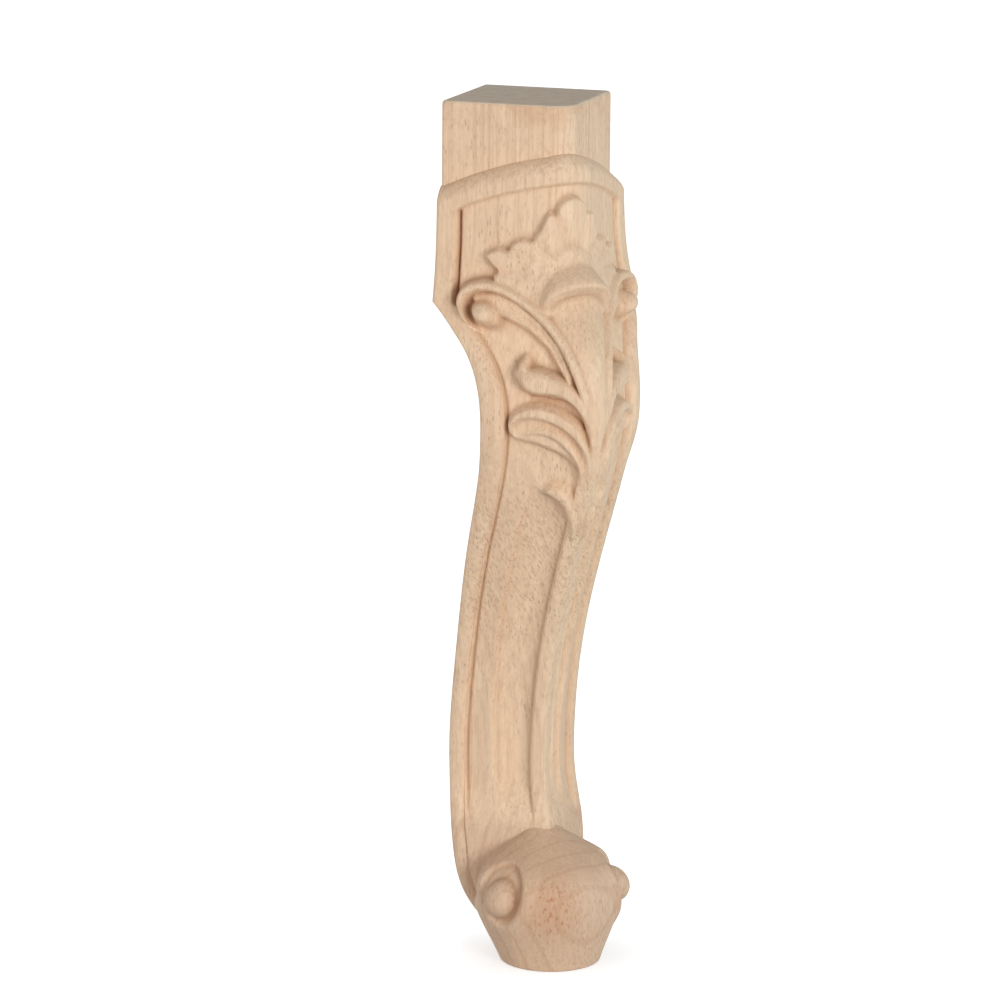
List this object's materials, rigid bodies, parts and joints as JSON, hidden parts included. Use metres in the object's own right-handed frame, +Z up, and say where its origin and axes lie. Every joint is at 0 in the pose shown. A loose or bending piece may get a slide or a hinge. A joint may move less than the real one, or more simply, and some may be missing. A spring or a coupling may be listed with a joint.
{
  "type": "carved furniture leg",
  "caption": "Carved wooden cabriole furniture leg: square post, arched moulding, leaf carving on the knee, bordered hollow shaft and a round scroll foot.",
  "frame": {"origin": "centre of the round sole, on the floor", "axes": "+Z up along the leg; the patterned faces look to -Y and +X, so the front corner points to +X -Y and the plain back faces look to -X and +Y"},
  "size_m": [0.0608, 0.0608, 0.28],
  "materials": {
    "wood": "bare sanded pale hardwood, matte"
  },
  "bodies": {
    "root": {"carved_leg": "wood"}
  },
  "joints": []
}
